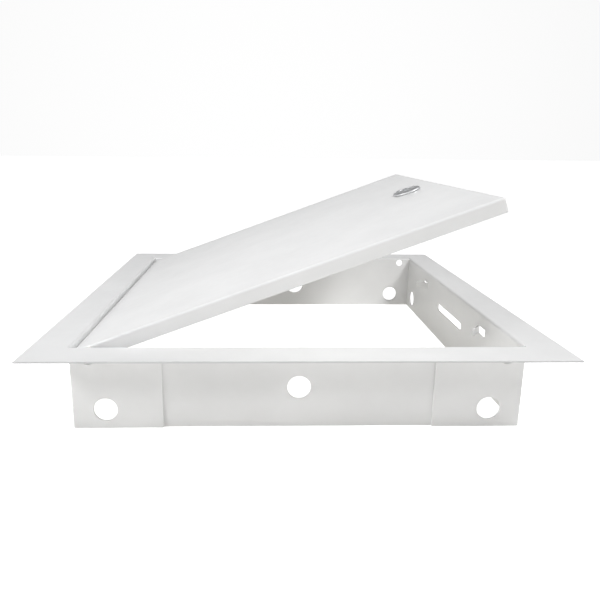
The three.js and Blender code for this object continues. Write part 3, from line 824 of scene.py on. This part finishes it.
def make_latch_body():
    """Crowned flange over a threaded barrel with two flats, a counterbore and a lug."""
    radius, edge, crown = FLANGE["radius"], FLANGE["edge"], FLANGE["crown"]
    dome_inner = COUNTERBORE + FLANGE["shoulder"]
    width, rise = radius - dome_inner, crown - edge
    dome = [(dome_inner + width * math.cos(a), edge + rise * math.sin(a)) for a in quarter_turn(12)]
    lip = arc(COUNTERBORE + FLANGE["lip"], crown - FLANGE["lip"], FLANGE["lip"], 90, 180, 6)
    profile = [(COUNTERBORE, GAP), (radius - 0.2, GAP), (radius, GAP + 0.2)] + dome + lip
    barrel = threaded_bar(BARREL["radius"], -BARREL["length"], edge)
    half = BARREL["flats"] / 2
    flats = rectangle(-radius, radius, -half, half)
    flats = prism(flats, -BARREL["length"] - PAST, edge + PAST, SHARP)
    barrel = combine(barrel, flats, "INTERSECT")
    bore = punch(circle(PLUG["radius"] + GAP, 72), -BARREL["length"], edge, 0.2)
    counterbore = prism(circle(COUNTERBORE, 96), -COUNTERBORE_DEPTH, crown + PAST, SHARP)
    body = join(cut(barrel, bore, counterbore), lathe(profile, 96))
    lug = ring_sector(LUG["inner"], LUG["outer"], -90 - LUG["half_angle"], -90 + LUG["half_angle"], 8)
    body = join(body, prism(lug, STOP_WASHER_BOTTOM, 1 - BARREL["length"], 0.15))
    make_piece("latch_body", body, axes=LATCH_PLACE)


def make_plug():
    """The turning core: slotted head, grooved stem, square end and a tapped hole."""
    radius, head, top, bottom = PLUG["radius"], PLUG["head"], PLUG["top"], PLUG["bottom"]
    end, groove = -BARREL["length"], O_RING["groove"]
    low, high = O_RING["centre"] - O_RING["half"], O_RING["centre"] + O_RING["half"]
    profile = [(0, end), (radius, end), (radius, low), (groove, low)]
    profile += [(groove, high), (radius, high), (radius, bottom), (head, bottom)]
    profile += arc(head - 0.5, top - 0.5, 0.5, 0, 90, 6) + [(0, top)]
    core = join(lathe(profile, 96), prism(square(PLUG["square"]), PLUG_END, end + PAST, 0.2))
    tapped = prism(circle(PLUG["tapped"], 40), PLUG_END - PAST, SCREW["end"] + TAPPED_PAST_SCREW, SHARP)
    slot = rectangle(-DRIVER_SLOT["half"], DRIVER_SLOT["half"], -head - PAST, head + PAST)
    walls = [(0, DRIVER_SLOT["floor"]), (0, top - 0.2), (0.25, top + 0.05), (0.25, top + PAST)]
    driver_slot = levels(slot, walls)
    make_piece("latch_plug", cut(core, tapped, driver_slot), axes=LATCH_PLACE)


def make_o_ring():
    """It sits in the plug's groove."""
    section = circle(O_RING["section"], 20, O_RING["radius"], O_RING["centre"])
    make_piece("latch_o_ring", lathe(section, 72), axes=LATCH_PLACE)


def make_toothed_washer():
    """External-tooth lock washer."""
    outline = []
    for i in range(TOOTHED["teeth"] * 4):
        radius = TOOTHED["tip"] if i % 4 < 2 else TOOTHED["root"]
        angle = math.pi * i / (2 * TOOTHED["teeth"])
        outline.append((radius * math.cos(angle), radius * math.sin(angle)))
    top = -SHEET - GAP
    low = top - TOOTHED["thick"]
    washer = prism(soften(outline, 0.15, 2), low, top, 0.12)
    hole = punch(circle(BARREL["radius"] + GAP, 72), low, top, 0.12)
    make_piece("latch_washer", cut(washer, hole), axes=LATCH_PLACE)


def make_nut():
    """Thin hexagon nut, chamfered at both ends."""
    corner, chamfer, face = NUT["corner"], NUT["chamfer"], NUT["face"]
    top = -SHEET - 2 * GAP - TOOTHED["thick"]
    low = top - NUT["thick"]
    hexagon = prism(soften(circle(corner, 6), 0.3), low, top, SHARP)
    lower = [(0, low), (face, low), (corner, low + chamfer)]
    upper = [(corner, top - chamfer), (face, top), (0, top)]
    nut = combine(hexagon, lathe(lower + upper), "INTERSECT")
    bore = punch(circle(BARREL["radius"] + 0.05, 96), low, top, 0.4)
    make_piece("latch_nut", cut(nut, bore), axes=LATCH_PLACE)


def make_stop_washer():
    """Its notch runs round the barrel's lug and stops the plug after a quarter turn."""
    start = -180 - LUG["half_angle"] - STOP_WASHER["play"]
    end = -90 + LUG["half_angle"] + STOP_WASHER["play"]
    inner = LUG["inner"] - GAP
    outline = arc(0, 0, STOP_WASHER["radius"], end, start + 360, 60) + arc(0, 0, inner, start, end, 30)
    low, high = STOP_WASHER_BOTTOM, STOP_WASHER_TOP
    washer = prism(soften(outline, 0.3), low, high, 0.15)
    hole = punch(square(PLUG["square"] + 2 * GAP), low, high, 0.12)
    make_piece("stop_washer", cut(washer, hole), axes=LATCH_PLACE)


def make_cam():
    """A flat arm, round at the plug and with rounded corners at its end."""
    half, corner, reach = CAM["half"], CAM["corner"], CAM["reach"]
    outline = arc(0, 0, CAM["hub"], 0, 180, 40)
    outline += arc(corner - half, corner - reach, corner, 180, 270, 12)
    outline += arc(half - corner, corner - reach, corner, 270, 360, 12)
    low = CAM_TOP - CAM["thick"]
    hole = punch(square(PLUG["square"] + 2 * GAP), low, CAM_TOP, 0.2)
    make_piece("latch_cam", cut(prism(outline, low, CAM_TOP, 0.35), hole), axes=LATCH_PLACE)


def make_cam_lock_washer():
    """Split spring washer."""
    inner, outer, half = LOCK_WASHER["inner"], LOCK_WASHER["outer"], LOCK_WASHER["half_split"]
    low, high = LOCK_WASHER_TOP - LOCK_WASHER["thick"], LOCK_WASHER_TOP
    profile = soften(rectangle(inner, outer, low, high), 0.12)
    split = rectangle(inner - PAST, outer + PAST, -half, half)
    split = prism(split, low - PAST, high + PAST, SHARP)
    split.transform(Matrix.Rotation(math.radians(LOCK_WASHER["split_at"]), 4, "Z"))
    make_piece("cam_lock_washer", cut(lathe(profile, 64), split), axes=LATCH_PLACE)


def make_cam_screw():
    """Pan-head screw with a cross recess, up into the plug."""
    shank, head, end, tip = SCREW["shank"], SCREW["head"], SCREW["end"], SCREW["tip"]
    crown, dome = SCREW["crown"], SCREW["dome"]
    low = SCREW_TOP - SCREW["height"]
    profile = [(0, low)]
    for angle in quarter_turn(8):
        radius = crown + (head - crown) * math.sin(angle)
        profile.append((radius, low + dome * (1 - math.cos(angle))))
    profile += [(head, SCREW_TOP), (shank, SCREW_TOP), (shank, end - tip), (shank - tip, end), (0, end)]
    screw = lathe(profile, 64)
    reach, half = CROSS["reach"], CROSS["half"]
    for quarter in (0, 1):
        wing = rectangle(-reach, reach, -half, half)
        recess = levels(wing, [(0.12, low - PAST), (0.12, low), (-0.1, low + CROSS["depth"])])
        recess.transform(Matrix.Rotation(quarter * math.pi / 2, 4, "Z"))
        screw = cut(screw, recess)
    make_piece("cam_screw", screw, axes=LATCH_PLACE)


# ---------- Scene ----------


def make_camera():
    """The viewing angle: low, a little left of the middle, looking slightly down over the front."""
    place = Vector((-0.0261, -0.5064, 0.1877))
    yaw, pitch, roll = (math.radians(a) for a in (-1.73, 12.75, 0.54))
    turn = Matrix.Rotation(yaw, 4, "Z")
    turn @= Matrix.Rotation(math.pi / 2 - pitch, 4, "X")
    turn @= Matrix.Rotation(roll, 4, "Z")
    data = bpy.data.cameras.new("camera")
    data.lens = 33.87
    data.sensor_width = 36
    data.shift_x = 0.0377
    data.shift_y = -0.0448
    data.clip_start = 0.01
    camera = bpy.data.objects.new("camera", data)
    camera.matrix_world = Matrix.Translation(place) @ turn
    bpy.context.scene.collection.objects.link(camera)
    bpy.context.scene.camera = camera


def make_floor(name, height, glow, colour):
    """A wide pale sheet that glows, so that shadows on it stay faint."""
    solid = bmesh.new()
    bmesh.ops.create_grid(solid, x_segments=8, y_segments=8, size=8)
    mesh = bpy.data.meshes.new(name)
    solid.to_mesh(mesh)
    solid.free()
    material, tree, shader, place = material_tree(name)
    tone = tint(tree, noise(tree, place, 3), (0.8, 0.8, 0.8), (0.82, 0.82, 0.82))
    plug(tree, shader, Base_Color=tone)
    shader.inputs["Roughness"].default_value = 0.9
    shader.inputs["Emission Color"].default_value = colour
    shader.inputs["Emission Strength"].default_value = glow
    mesh.materials.append(material)
    floor = bpy.data.objects.new(name, mesh)
    floor.location.z = height
    bpy.context.scene.collection.objects.link(floor)
    return floor


def make_floors():
    """The lower floor lights the hatch, unseen. The upper one is seen, and lights nothing."""
    warm = make_floor("pale_floor", height=-0.0004, glow=0.31, colour=(1.0, 0.975, 0.9, 1))
    warm.visible_camera = False
    white = make_floor("white_floor", height=-0.0002, glow=0.95, colour=(1, 1, 1, 1))
    white.visible_diffuse = False
    white.visible_glossy = False
    white.visible_transmission = False
    white.visible_shadow = False


def make_world():
    """Pale round the horizon, from dim before the hatch to white behind it, and dark overhead."""
    world = bpy.data.worlds.new("studio")
    world.use_nodes = True
    tree = world.node_tree
    background = tree.nodes["Background"]
    way = node(tree, "ShaderNodeTexCoord").outputs["Generated"]
    along = node(tree, "ShaderNodeSeparateXYZ", Vector=way).outputs
    ramp = node(tree, "ShaderNodeValToRGB", Fac=along["Z"])
    ramp.color_ramp.elements[0].position = 0.25
    ramp.color_ramp.elements[0].color = (1, 1, 1, 1)
    ramp.color_ramp.elements[1].position = 0.5
    ramp.color_ramp.elements[1].color = (0.02, 0.02, 0.022, 1)
    tree.links.new(ramp.outputs["Color"], background.inputs["Color"])
    strength = between(tree, along["Y"], 0.3, 1.0, from_low=-1.0, from_high=1.0)
    tree.links.new(strength, background.inputs["Strength"])
    bpy.context.scene.world = world


def make_softbox(name, around, up, away, size, power):
    """A round lamp aimed at the frame, around from the front towards the left and up, in degrees."""
    aim = Vector((0, 0, DEPTH * MM))
    a, e = math.radians(around), math.radians(up)
    data = bpy.data.lights.new(name, "AREA")
    data.shape = "DISK"
    data.size = size
    data.energy = power
    light = bpy.data.objects.new(name, data)
    way = Vector((-math.sin(a) * math.cos(e), -math.cos(a) * math.cos(e), math.sin(e)))
    light.location = aim + way * away
    light.rotation_euler = (aim - light.location).to_track_quat("-Z", "Y").to_euler()
    light.visible_camera = False
    bpy.context.scene.collection.objects.link(light)


make_camera()
make_world()
make_floors()
make_softbox("key", around=58, up=27, away=1.0, size=0.25, power=3.6)
make_softbox("left_fill", around=52, up=60, away=0.45, size=0.3, power=0.45)
make_softbox("right_fill", around=-60, up=50, away=1.0, size=0.25, power=5.6)
make_softbox("front_fill", around=-20, up=40, away=1.0, size=0.25, power=0.5)

make_frame()
make_door_panel()
make_fixed_pin()
make_sliding_pin()
make_bracket()
make_spring()
make_spacer("hinge_washer_front", -1)
make_spacer("hinge_washer_back", 1)
make_latch_body()
make_plug()
make_o_ring()
make_toothed_washer()
make_nut()
make_stop_washer()
make_cam()
make_cam_lock_washer()
make_cam_screw()

bpy.context.scene.view_settings.view_transform = "Standard"
